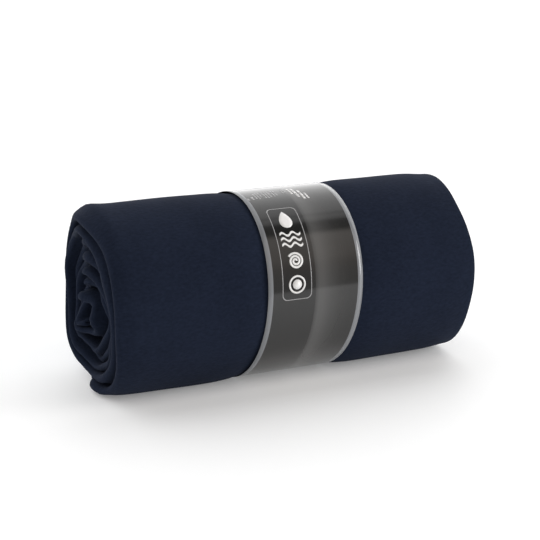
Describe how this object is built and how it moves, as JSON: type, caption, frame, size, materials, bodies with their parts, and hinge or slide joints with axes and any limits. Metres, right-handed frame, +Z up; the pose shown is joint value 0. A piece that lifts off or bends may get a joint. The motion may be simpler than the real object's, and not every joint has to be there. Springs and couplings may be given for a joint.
{
  "type": "rolled quick dry towel",
  "caption": "Quick-dry travel towel, folded in thirds and rolled into a cylinder, held by a slip-on printed film band.",
  "frame": {"origin": "on the surface the roll lies on, under the middle of its bounding box", "axes": "+X along the roll from its left end to its right end, -Y the front, +Z up"},
  "size_m": [0.234, 0.1152, 0.1132],
  "materials": {
    "cloth": "brushed navy microfibre",
    "thread": "navy polyester sewing thread",
    "label": "white satin ribbon",
    "film": "gloss film printed in two greys with a light edge",
    "glue": "clear hot-melt"
  },
  "bodies": {
    "towel": {"towel_cloth": "cloth", "free_end_stitching": "thread", "core_end_stitching": "thread", "care_label": "label"},
    "band": {"banderole": "film", "glue_strip": "glue"}
  },
  "joints": [
    {"name": "band_slide", "type": "slide", "parent": "towel", "child": "band", "axis": [1, 0, 0], "range_m": [-0.165, 0.158]}
  ]
}
